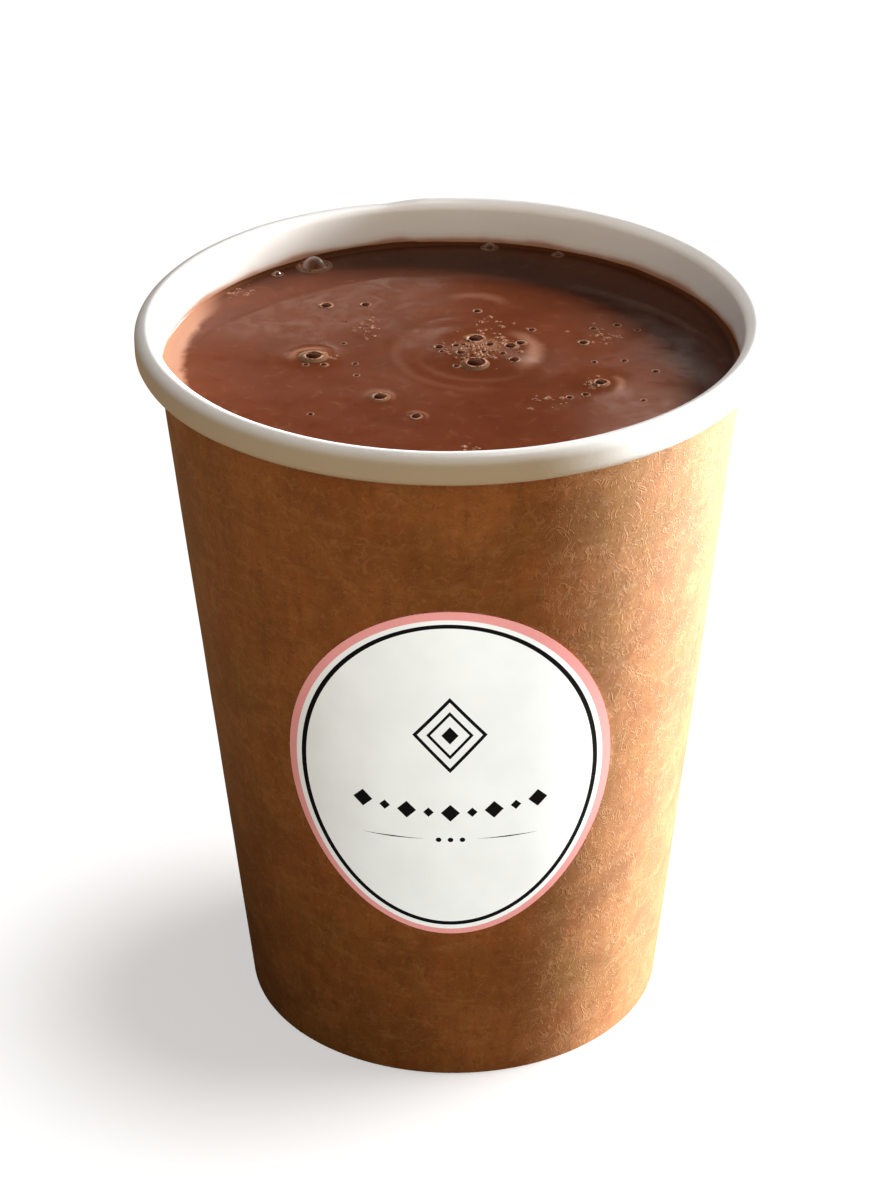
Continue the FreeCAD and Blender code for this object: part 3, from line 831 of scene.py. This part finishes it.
class CUP_OT_print(bpy.types.Operator):
    """Print a plain ornament on the label: nested lozenges, a row of lozenges and two rules"""

    bl_idname = "cup.print"
    bl_label = "Label print"

    def execute(self, context):
        sizes, colours = context.scene.cup_label, context.scene.cup_colours
        label = bpy.data.objects["label_sticker"]
        shapes = [self.mark(*mark) for mark in (*LOZENGES, *ROW, *DOTS, *RULES)]
        select_only(*shapes)
        bpy.ops.object.join()
        ornament = named("label_ornament")
        edit(ornament)
        bpy.ops.mesh.quads_convert_to_tris()
        for _ in range(3):
            bpy.ops.mesh.subdivide(number_cuts=1)
        leave_edit()
        face_front(ornament)
        ornament.data.materials.append(ink_finish("label_ink", colours))
        wrap(ornament, label, sizes.ink)
        add_modifier(ornament, "SOLIDIFY", thickness=sizes.ink * 1.5, offset=-1.0)
        shade(ornament)
        finish_piece(ornament, "label_paper")
        return {"FINISHED"}

    def mark(self, corners, width, height, across, up, outline):
        """A flat shape in millimetres, filled or only its outline."""
        place = (LABEL_MIDDLE.x + across * MM, FLAT_Y, LABEL_MIDDLE.z + up * MM)
        shape = flat_disc("mark", corners, width * MM, height * MM, place)
        if outline:
            bpy.ops.mesh.inset(thickness=outline * MM)
            bpy.ops.mesh.delete(type="FACE")
        leave_edit()
        return shape


# ---- Drink ----

# How far the drink reaches below the top of the base's disc, so that no gap shows.
SUNK = 0.05 * MM
SURFACE_RINGS, MENISCUS_RINGS, DRINK_SECTORS = 96, 9, 256
# Sizes of the surface's slow and quick unevenness, and of the meniscus's.
SLOW_SWELL, QUICK_SWELL, MENISCUS_SWELL = 17 * MM, 6 * MM, 5 * MM
# Where foam lifts the surface: across, back, spread and height, in millimetres.
MOUNDS = (
    (4.6, 1.9, 6.5, 0.40),
    (-19.9, 0.3, 2.6, 0.30),
    (20.7, -8.5, 2.6, 0.18),
    (-10.0, -13.0, 1.6, 0.10),
)


def surface_height(drink, x, y):
    """Height of the drink's surface over its level, away from the wall."""
    swell = noise.noise(Vector((x, y, 0.0)) / SLOW_SWELL)
    swell += noise.noise(Vector((x, y, 0.02)) / QUICK_SWELL) * 0.25
    east, north = x - drink.ripple_x, y - drink.ripple_y
    away, turn = math.hypot(east, north), math.atan2(north, east)
    uneven = noise.noise(Vector((math.cos(turn), math.sin(turn), 0.5)) * 1.6)
    past = (away - drink.ripple_radius * (1 + 0.12 * uneven)) / drink.ripple_width
    ripple = (1 + 1.5 * uneven) * math.exp(-past * past) * math.cos(math.tau * past * 0.8)
    raised = sum(
        high * MM * math.exp(-((x / MM - across) ** 2 + (y / MM - back) ** 2) / spread ** 2)
        for across, back, spread, high in MOUNDS
    )
    return swell * drink.swell + ripple * drink.ripple_height + raised


class CUP_OT_drink(bpy.types.Operator):
    """Spin the drink's outline, then let its surface swell and ripple"""

    bl_idname = "cup.drink"
    bl_label = "Drink"

    def execute(self, context):
        sizes, drink = context.scene.cup_sizes, context.scene.cup_drink
        level = sizes.height - drink.drop
        depth = sizes.board - drink.into_wall
        edge = wall_radius(sizes, level + drink.meniscus_rise, depth)
        floor_z = BASE_HIGH.z - SUNK
        flat = edge - drink.meniscus_reach
        points = [Vector((0, 0, level))]
        points += line(points[0], Vector((flat, 0, level)), SURFACE_RINGS)
        for ring in range(1, MENISCUS_RINGS + 1):
            share = ring / MENISCUS_RINGS
            out = flat + drink.meniscus_reach * (1 - (1 - share) ** 1.4)
            points.append(Vector((out, 0, level + drink.meniscus_rise * share ** 3)))
        points += line(points[-1], Vector((wall_radius(sizes, floor_z, depth), 0, floor_z)), 4)
        points += line(points[-1], Vector((0, 0, floor_z)), 3)
        body = draw_wire("hot_chocolate_drink", points)
        spin_full(DRINK_SECTORS, 0.001 * MM)
        for vertex in body.data.vertices:
            x, y, z = vertex.co
            if z < level - 0.01 * MM:
                continue
            inward = smooth_step((edge - math.hypot(x, y)) / drink.meniscus_reach)
            ragged = noise.noise(Vector((x, y, 0.0)) / MENISCUS_SWELL) * 0.35
            vertex.co.z += surface_height(drink, x, y) * inward + ragged * (z - level)
        body.data.materials.append(drink_finish(context.scene.cup_colours))
        shade(body, 60)
        finish_piece(body, "hot_chocolate", "chocolate")
        return {"FINISHED"}


# Bubbles on the drink: across, back and width, in millimetres.
DARK_BUBBLES = (
    (3.5, -2.3, 2.5), (3.5, 5.7, 2.0), (8.5, 3.2, 1.45), (9.0, -1.3, 1.3), (-1.7, 3.3, 1.15),
    (0.7, 3.5, 0.9), (0.8, -3.1, 0.85), (5.6, 3.6, 1.0), (1.4, 1.0, 1.15), (4.7, 1.0, 0.75),
    (7.4, 0.7, 0.75), (10.0, 4.4, 1.15), (-1.3, 1.6, 0.7), (11.7, 9.2, 0.9), (3.9, 16.0, 1.0),
    (-19.7, 0.2, 2.2), (-20.7, -2.3, 0.7), (-18.1, -2.3, 0.85), (-10.0, -13.0, 1.7),
    (-4.9, -19.1, 1.25), (-19.5, -18.2, 0.7), (-18.4, 18.3, 1.5), (-12.6, 18.5, 1.2),
    (-15.5, 5.0, 0.7), (-13.7, -1.9, 0.7), (-13.4, -5.7, 0.7), (21.0, -8.8, 1.5),
    (19.1, 4.9, 1.2), (24.2, 10.8, 0.9), (20.7, 9.7, 0.85), (27.1, 9.2, 0.7), (29.0, -4.8, 0.85),
    (24.7, -1.3, 0.8), (20.4, -1.7, 0.7), (16.5, -13.3, 0.8), (26.8, -14.3, 0.7),
    (18.8, -12.4, 0.9),
)
PALE_BUBBLES = ((-20.7, 33.0, 3.5), (16.4, 36.6, 1.3), (6.0, 39.6, 1.8), (-26.1, 29.9, 1.2))
# Patches of fine foam: across, back, spread and how many bubbles.
FOAM_PATCHES = (
    (4.0, 2.8, 4.6, 150), (-18.3, 0.5, 1.8, 26), (-12.1, 10.7, 4.0, 34), (21.6, 6.2, 3.6, 30),
    (19.9, -8.9, 1.7, 22), (-4.9, -18.6, 1.0, 10), (-10.0, -12.5, 1.1, 10), (-31.7, 23.8, 2.4, 34),
    (2.0, -29.6, 2.2, 12), (14.1, -14.9, 3.0, 12), (6.0, 11.2, 3.2, 18),
)
FOAM_WIDTHS = (0.22, 0.30, 0.38, 0.48, 0.65)
FOAM_REACH = 40.2
# The raised ring round a bubble of width 2: radius and height. Past RING_EDGE it shows as drink.
RING_PROFILE = ((1.04, 0.07), (1.12, 0.11), (1.22, 0.11), (1.36, 0.06), (1.60, 0.01), (2.0, -0.12))
SKIN_EDGE, RING_EDGE = 0.99, 1.3


def bubble_pattern(name, materials, segments, rows, height):
    """A bubble of width 2 on the XY plane: a domed skin in a raised ring of drink."""
    crown = 2 * math.atan(height)
    radius = 1.0 / math.sin(crown)
    points = [Vector((0, 0, height))]
    for row in range(1, rows + 1):
        lean = crown * row / rows
        points.append(Vector((radius * math.sin(lean), 0, height - radius * (1 - math.cos(lean)))))
    points += [Vector((r, 0, z)) for r, z in RING_PROFILE]
    bubble = draw_wire(name, points)
    spin_full(segments, 0.001)
    for material in materials:
        bubble.data.materials.append(material)
    for face in bubble.data.polygons:
        face.use_smooth = True
        away = math.hypot(face.center.x, face.center.y)
        face.material_index = 0 if away < SKIN_EDGE else 1 if away < RING_EDGE else 2
    return bubble


def scatter(name, pattern, places):
    """One piece of copies of the pattern at places of (x, y, z, width, turn)."""
    copies = []
    for x, y, z, width, turn in places:
        copy = bpy.data.objects.new(name, pattern.data.copy())
        bpy.context.scene.collection.objects.link(copy)
        size = Matrix.Diagonal((width / 2, width / 2, width / 2, 1.0))
        copy.data.transform(Matrix.Translation((x, y, z)) @ Matrix.Rotation(turn, 4, "Z") @ size)
        copies.append(copy)
    bpy.data.objects.remove(pattern)
    select_only(*copies)
    bpy.ops.object.join()
    return named(name)


class CUP_OT_bubbles(bpy.types.Operator):
    """Spin one bubble, copy it over the drink, and gather fine foam between the copies"""

    bl_idname = "cup.bubbles"
    bl_label = "Bubbles and foam"

    def execute(self, context):
        drink, colours = context.scene.cup_drink, context.scene.cup_colours
        level = context.scene.cup_sizes.height - drink.drop
        draw = random.Random(7)

        def place(x, y, width):
            """A bubble on the surface, given in millimetres and turned at random."""
            z = level + surface_height(drink, x * MM, y * MM)
            return x * MM, y * MM, z, width * MM, draw.uniform(0, math.tau)

        froth, ring = froth_finish(colours), ring_finish(colours)
        body = bpy.data.materials["hot_chocolate"]
        kinds = (("bubbles", bubble_finish(colours), 0.22, DARK_BUBBLES),
                 ("wall_bubbles", pale_bubble_finish(colours), 0.8, PALE_BUBBLES))
        for name, skin, height, bubbles in kinds:
            pattern = bubble_pattern(name, (skin, ring, body), 24, 8, height)
            piece = scatter(name, pattern, [place(*bubble) for bubble in bubbles])
            finish_piece(piece, "hot_chocolate")
        fine = []
        for across, back, spread, count in FOAM_PATCHES:
            for _ in range(count):
                x = across + draw.gauss(0, spread / 2)
                y = back + draw.gauss(0, spread / 2)
                width = draw.choice(FOAM_WIDTHS)
                clear = all(math.hypot(x - bx, y - by) > bw / 2 for bx, by, bw in DARK_BUBBLES)
                if clear and math.hypot(x, y) < FOAM_REACH:
                    fine.append(place(x, y, width))
        # The fine bubbles' domes take the ring's finish: pale dots, partly painted highlights.
        pattern = bubble_pattern("foam", (ring, froth, froth), 8, 2, 0.5)
        finish_piece(scatter("foam", pattern, fine), "hot_chocolate")
        return {"FINISHED"}


# ---- Stage ----

# What the lights look at, and how far off they stand when nothing else is said.
AIM = Vector((0, 0, 60 * MM))
LIGHT_AWAY = 0.9
CARD_AWAY = 1.2
# The key light, and its flag, whose edge lies FLAG_EDGE behind the line from light to cup.
KEY_AZIMUTH, KEY_ELEVATION, KEY_SIZE, KEY_STRENGTH = 22, 5, (0.35, 0.25), 5.7
FLAG_AWAY, FLAG_SIZE, FLAG_EDGE = 0.15, 0.3, 2 * MM
# The light over the rim, and the sleeve that it clears.
INSIDE_ELEVATION, INSIDE_STRENGTH = 9, 3.5
SLEEVE_RADIUS, SLEEVE_HEIGHT = 46.5 * MM, 107 * MM
# The cone that stands for the cup in the floor's shadow.
CASTER_FOOT, CASTER_TOP, CASTER_HEIGHT, CASTER_MIDDLE = 31 * MM, 34 * MM, 93 * MM, 55.5 * MM
# The floor's colour to the camera, and what it throws back from the shadow beside the cup and
# from outside it.
FLOOR_SEEN = (0.93, 0.93, 0.93)
FLOOR_SHADED, FLOOR_LIT = (0.02, 0.012, 0.006), (0.32, 0.205, 0.108)
SHADE_SHIFT, SHADE_EDGE = (52 * MM, 26 * MM, 0), (42 * MM, 70 * MM)
WORLD_LIGHT, WORLD_MIRRORED, WORLD_SEEN = (0.10, 0.085, 0.062), (0.03, 0.03, 0.03), (1.0, 1.0, 1.0)
# The camera: lens and sensor in millimetres, place, and pitch, yaw and roll in degrees.
LENS, SENSOR = 103.8, 36.0
CAMERA_PLACE = Vector((0, -449.3 * MM, 313.6 * MM))
CAMERA_TURNS = (29.08, 0.08, -0.32)


def around(azimuth, elevation, distance):
    """A point round the cup's middle: azimuth from +X towards +Y, in degrees."""
    a, e = math.radians(azimuth), math.radians(elevation)
    out = Vector((math.cos(a) * math.cos(e), math.sin(a) * math.cos(e), math.sin(e)))
    return AIM + distance * out


def gather(name, pieces):
    """A collection of pieces, for light linking."""
    group = bpy.data.collections.new(name)
    for piece in pieces:
        group.objects.link(piece)
    return group


def add_light(name, kind, azimuth, elevation, distance, pieces):
    """A light that looks at the cup's middle and falls on these pieces alone."""
    light = bpy.data.objects.new(name, bpy.data.lights.new(name, kind))
    bpy.context.scene.collection.objects.link(light)
    light.location = around(azimuth, elevation, distance)
    light.rotation_mode = "QUATERNION"
    light.rotation_quaternion = (light.location - AIM).to_track_quat("Z", "Y")
    light.light_linking.receiver_collection = gather(name + "_receivers", pieces)
    return light


def softbox(name, azimuth, elevation, size, strength, pieces, tint=(1, 1, 1), away=LIGHT_AWAY):
    """An area light, no brighter or darker for its distance."""
    light = add_light(name, "AREA", azimuth, elevation, away, pieces)
    light.data.shape = "RECTANGLE"
    light.data.size, light.data.size_y = size
    light.data.energy = strength * (math.pi * away) ** 2
    light.data.color = tint
    light.visible_camera = False
    return light


def sun(name, azimuth, elevation, width, strength, pieces):
    """A far light of an angular width in degrees."""
    light = add_light(name, "SUN", azimuth, elevation, LIGHT_AWAY, pieces)
    light.data.angle = math.radians(width)
    light.data.energy = strength * math.pi
    return light


def mirror_card(name, azimuth, elevation, size, strength, pieces, tint):
    """A panel that only shows mirrored, as bright as strength at any size."""
    card = softbox(name, azimuth, elevation, size, 1.0, pieces, tint, CARD_AWAY)
    card.data.energy = strength * math.pi * size[0] * size[1]
    card.visible_diffuse = False
    return card


def shadow_only(name, add, **settings):
    """Adds a primitive that no ray meets but the lights' own."""
    piece = add_piece(name, add, **settings)
    piece.visible_camera = piece.visible_diffuse = False
    piece.visible_glossy = piece.visible_transmission = False
    return piece


class CUP_OT_stage(bpy.types.Operator):
    """Lay the floor and set the lights and the camera"""

    bl_idname = "cup.stage"
    bl_label = "Stage"

    def execute(self, context):
        scene = context.scene
        parts = bpy.data.objects
        label = [parts["label_sticker"], parts["label_ornament"]]
        cup = [parts["cup_wall_board"], *label, frame["nodes"]["cup_base"]]
        names = ("hot_chocolate_drink", "bubbles", "wall_bubbles", "foam")
        floor = self.lay_floor()
        self.light_cup(cup, label)
        self.light_drink([parts[name] for name in names])
        self.light_floor(floor)
        self.light_key(cup)
        self.light_world(scene)
        self.place_camera(scene)
        scene.view_settings.view_transform = "Standard"
        return {"FINISHED"}

    def light_cup(self, cup, label):
        """The soft lights of the board and the label."""
        gloss = softbox("key_gloss", 30, 3, (0.4, 0.4), 4.2, cup, (1.0, 0.85, 0.70))
        gloss.visible_diffuse = False
        softbox("fill", 276, 30, (0.8, 0.5), 0.21, cup, (1.0, 0.74, 0.41))
        softbox("top", 39, 77, (0.30, 0.30), 0.42, cup)
        front = softbox("label_light", 290, 25, (0.5, 0.5), 1.12, label, (0.76, 0.90, 0.97))
        front.visible_glossy = False
        glow = softbox("mouth_light", 270, 88, (0.05, 0.05), 0.052, cup[:1], (1.0, 0.86, 0.75), 0.11)
        glow.location = (0, 0, 135 * MM)

    def light_drink(self, drink):
        """The drink's own light, and the window and lamp that it mirrors."""
        softbox("drink_key", 50, 22, (0.22, 0.16), 2.4, drink)
        mirror_card("card_back", 94.2, 25.6, (0.15, 0.018), 7.5, drink, (1.0, 0.80, 0.68))
        mirror_card("card_right", 84.9, 28.9, (0.046, 0.046), 8.0, drink, (1.0, 0.86, 0.76))

    def light_floor(self, floor):
        """A sun that throws the shadow of a slim cone inside the cup, and one that fills it."""
        caster = shadow_only(
            "shade_caster", bpy.ops.mesh.primitive_cone_add, vertices=48, radius1=CASTER_FOOT,
            radius2=CASTER_TOP, depth=CASTER_HEIGHT, location=(0, 0, CASTER_MIDDLE),
        )
        caught = gather("floor_sun_blockers", (caster, frame["nodes"]["cup_base"]))
        sun("floor_sun", 17, 71.5, 18, 0.50, [floor]).light_linking.blocker_collection = caught
        sun("floor_lift", 0, 90, 1, 0.57, [floor]).data.use_shadow = False

    def light_key(self, cup):
        """The main light, from behind the cup's right side: outside and into the mouth.

        A flag keeps the one off the cup's back, and a sleeve the other off its outside.
        """
        wall, turn = cup[0], math.radians(KEY_AZIMUTH)
        back = Vector((-math.sin(turn), math.cos(turn), 0)) * (FLAG_SIZE / 2 + FLAG_EDGE)
        flag = shadow_only(
            "key_flag", bpy.ops.mesh.primitive_plane_add, size=FLAG_SIZE,
            rotation=(0, math.radians(90 - KEY_ELEVATION), turn),
            location=around(KEY_AZIMUTH, KEY_ELEVATION, FLAG_AWAY) + back,
        )
        sleeve = shadow_only(
            "key_sleeve", bpy.ops.mesh.primitive_cylinder_add, vertices=64, radius=SLEEVE_RADIUS,
            depth=SLEEVE_HEIGHT, end_fill_type="NOTHING", location=(0, 0, SLEEVE_HEIGHT / 2),
        )
        others = gather("all_but_flag_and_sleeve", (flag, sleeve))
        for held in others.collection_objects:
            held.light_linking.link_state = "EXCLUDE"
        for light in bpy.context.scene.objects:
            if light.type == "LIGHT" and light.light_linking.blocker_collection is None:
                light.light_linking.blocker_collection = others
        key = softbox("key", KEY_AZIMUTH, KEY_ELEVATION, KEY_SIZE, KEY_STRENGTH, cup,
                      (0.84, 0.91, 0.90))
        key.light_linking.blocker_collection = gather("key_blockers", (*cup, flag))
        inside = softbox("key_inside", KEY_AZIMUTH, INSIDE_ELEVATION, KEY_SIZE, INSIDE_STRENGTH,
                         [wall], (0.98, 0.96, 0.92))
        inside.light_linking.blocker_collection = gather("inside_blockers", (sleeve, wall))

    def lay_floor(self):
        floor = add_piece("studio_floor", bpy.ops.mesh.primitive_plane_add, size=6)
        f = Finish("studio_floor")
        rays = f.node("LightPath").outputs
        x, y, _ = f.split(f.moved(place=SHADE_SHIFT))
        bounce = f.mottle(f.radius(x, y), *SHADE_EDGE, FLOOR_SHADED, FLOOR_LIT)
        tint = f.mix(rays["Is Camera Ray"], bounce, FLOOR_SEEN)
        f.set(Base_Color=tint, Roughness=1.0, Specular_IOR_Level=0.0)
        floor.data.materials.append(f.material)
        return floor

    def light_world(self, scene):
        """A dim warm surround, dimmer where it is mirrored and white to the camera."""
        scene.world = bpy.data.worlds.new("studio")
        nodes = Nodes(scene.world, "Background")
        rays = nodes.node("LightPath").outputs
        tint = nodes.mix(rays["Is Glossy Ray"], WORLD_LIGHT, WORLD_MIRRORED)
        nodes.set(Color=nodes.mix(rays["Is Camera Ray"], tint, WORLD_SEEN))

    def place_camera(self, scene):
        data = bpy.data.cameras.new("camera")
        data.lens, data.sensor_width = LENS, SENSOR
        data.clip_start, data.clip_end = 0.01, 20.0
        camera = bpy.data.objects.new("camera", data)
        scene.collection.objects.link(camera)
        pitch, yaw, roll = (math.radians(turn) for turn in CAMERA_TURNS)
        turn = (Matrix.Rotation(yaw, 4, "Z") @ Matrix.Rotation(math.pi / 2 - pitch, 4, "X")
                @ Matrix.Rotation(roll, 4, "Z"))
        camera.matrix_world = Matrix.Translation(CAMERA_PLACE) @ turn
        scene.camera = camera


# ---- Add-on ----


class CUP_PT_panel(bpy.types.Panel):
    bl_idname = "CUP_PT_panel"
    bl_label = "Hot Chocolate Cup"
    bl_space_type = "VIEW_3D"
    bl_region_type = "UI"
    bl_category = "Cup"

    def draw(self, context):
        for operator in OPERATORS:
            self.layout.operator(operator.bl_idname)


GROUPS = {
    "cup_sizes": CupSizes, "cup_drink": DrinkSizes,
    "cup_label": LabelSizes, "cup_colours": CupColours,
}
OPERATORS = (
    CUP_OT_wall, CUP_OT_base, CUP_OT_label, CUP_OT_print, CUP_OT_drink, CUP_OT_bubbles, CUP_OT_stage,
)
CLASSES = (*GROUPS.values(), *OPERATORS, CUP_PT_panel)


def register():
    for cls in CLASSES:
        bpy.utils.register_class(cls)
    for name, group in GROUPS.items():
        setattr(bpy.types.Scene, name, bpy.props.PointerProperty(type=group))


def unregister():
    for name in GROUPS:
        delattr(bpy.types.Scene, name)
    for cls in reversed(CLASSES):
        bpy.utils.unregister_class(cls)


def main():
    register()
    bpy.ops.cup.wall()
    bpy.ops.cup.base()
    bpy.ops.cup.label()
    bpy.ops.cup.print()
    bpy.ops.cup.drink()
    bpy.ops.cup.bubbles()
    bpy.ops.cup.stage()


if __name__ == "__main__":
    main()
